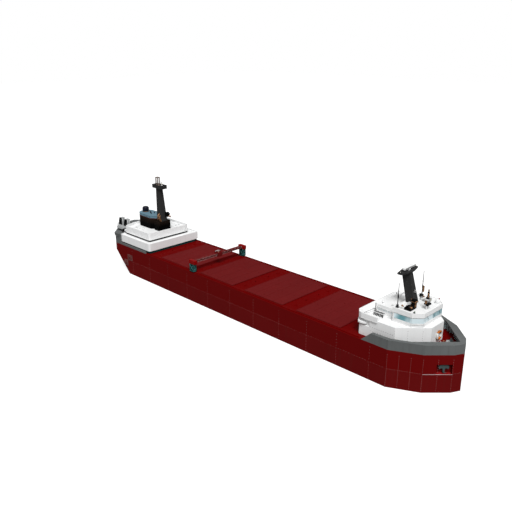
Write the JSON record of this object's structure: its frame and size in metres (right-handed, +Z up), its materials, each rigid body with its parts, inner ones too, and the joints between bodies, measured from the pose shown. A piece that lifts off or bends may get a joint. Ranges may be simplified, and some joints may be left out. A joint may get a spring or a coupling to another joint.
{
  "type": "lake freighter, canal size, 1:10 scale model",
  "caption": "Great lakes bulk freighter as a 1:10 scale model, with forward pilothouse, engine house aft, cargo hatches, travelling hatch crane, rudder and propeller.",
  "frame": {"origin": "middle of the flat bottom, at the centre of the overall length and beam", "axes": "+X towards the bow, +Y to port, +Z up"},
  "size_m": [8.25, 1.386, 2.0328],
  "materials": {
    "hull_red": "satin dark red hull paint",
    "hatch_red": "dull red hatch paint",
    "bulwark_grey": "satin grey paint",
    "house_white": "white gloss paint",
    "plinth_dark": "dark grey green paint",
    "black_paint": "black satin paint",
    "mast_black": "charcoal satin paint",
    "band_blue": "grey blue satin paint",
    "crane_grey": "grey green satin paint",
    "dark_steel": "dark painted steel",
    "window_glass": "pale blue window glass",
    "bronze": "dull bronze",
    "ring_orange": "orange life ring"
  },
  "bodies": {
    "ship": {"aft_house_lower": "house_white", "aft_house_plinth": "plinth_dark", "aft_house_upper": "house_white", "aft_lantern_frame": "bronze", "aft_mast": "mast_black", "aft_mast_head": "mast_black", "anchor_port": "dark_steel", "anchor_starboard": "dark_steel", "bow_bulwark": "bulwark_grey", "crane_rail_port": "hull_red", "crane_rail_starboard": "hull_red", "cross_deck_1": "hull_red", "cross_deck_2": "hull_red", "cross_deck_3": "hull_red", "cross_deck_4": "hull_red", "cross_deck_5": "hull_red", "exhaust_cap": "dark_steel", "forward_house": "house_white", "forward_mast": "mast_black", "forward_mast_head": "mast_black", "funnel_band": "band_blue", "funnel_casing": "black_paint", "helm_console": "dark_steel", "hull_bottom": "hull_red", "hull_bow": "hull_red", "hull_side_port": "hull_red", "hull_side_starboard": "hull_red", "hull_stern": "hull_red", "life_ring": "ring_orange", "mast_house": "black_paint", "pilothouse": "house_white", "pilothouse_glass": "window_glass", "pilothouse_roof": "house_white", "radar_pedestal": "house_white", "satellite_dome": "house_white", "searchlight": "dark_steel", "signal_bank": "dark_steel", "skylight": "dark_steel", "stern_bulwark": "bulwark_grey", "vent_platform_port": "house_white", "vent_platform_starboard": "house_white", "whip_aerial_port": "dark_steel", "whip_aerial_starboard": "dark_steel", "windlass": "dark_steel"},
    "crane": {"crane_leg_port": "crane_grey", "crane_leg_starboard": "crane_grey", "crane_cap_port": "hull_red", "crane_cap_starboard": "hull_red", "crane_beam": "crane_grey"},
    "trolley": {"crane_trolley": "dark_steel"},
    "hatch_1": {"hatch_cover_1": "hatch_red"},
    "hatch_2": {"hatch_cover_2": "hatch_red"},
    "hatch_3": {"hatch_cover_3": "hatch_red"},
    "hatch_4": {"hatch_cover_4": "hatch_red"},
    "propeller_rotor": {"propeller": "bronze"},
    "rudder_blade": {"rudder": "hull_red"},
    "radar": {"radar_scanner": "house_white"},
    "bridge_door": {"pilothouse_door": "house_white"}
  },
  "joints": [
    {"name": "crane_travel", "type": "slide", "parent": "ship", "child": "crane", "axis": [1, 0, 0], "range_m": [-1.2675, 3.6]},
    {"name": "trolley_travel", "type": "slide", "parent": "crane", "child": "trolley", "axis": [0, 1, 0], "range_m": [-0.48, 0.48]},
    {"name": "hatch_1_lift", "type": "slide", "parent": "ship", "child": "hatch_1", "axis": [0, 0, 1], "range_m": [0, 0.09]},
    {"name": "hatch_2_lift", "type": "slide", "parent": "ship", "child": "hatch_2", "axis": [0, 0, 1], "range_m": [0, 0.09]},
    {"name": "hatch_3_lift", "type": "slide", "parent": "ship", "child": "hatch_3", "axis": [0, 0, 1], "range_m": [0, 0.09]},
    {"name": "hatch_4_lift", "type": "slide", "parent": "ship", "child": "hatch_4", "axis": [0, 0, 1], "range_m": [0, 0.09]},
    {"name": "propeller_spin", "type": "hinge", "parent": "ship", "child": "propeller_rotor", "pos_m": [-3.61125, 0, 0.195], "axis": [1, 0, 0], "continuous": true},
    {"name": "rudder_turn", "type": "hinge", "parent": "ship", "child": "rudder_blade", "pos_m": [-3.765, 0, 0.225], "axis": [0, 0, 1], "range_deg": [-35, 35]},
    {"name": "radar_spin", "type": "hinge", "parent": "ship", "child": "radar", "pos_m": [3.13125, 0, 1.6125], "axis": [0, 0, 1], "continuous": true},
    {"name": "bridge_door_swing", "type": "hinge", "parent": "ship", "child": "bridge_door", "pos_m": [2.9775, 0.2745, 0.9375], "axis": [0, 0, -1], "range_deg": [0, 100]}
  ]
}
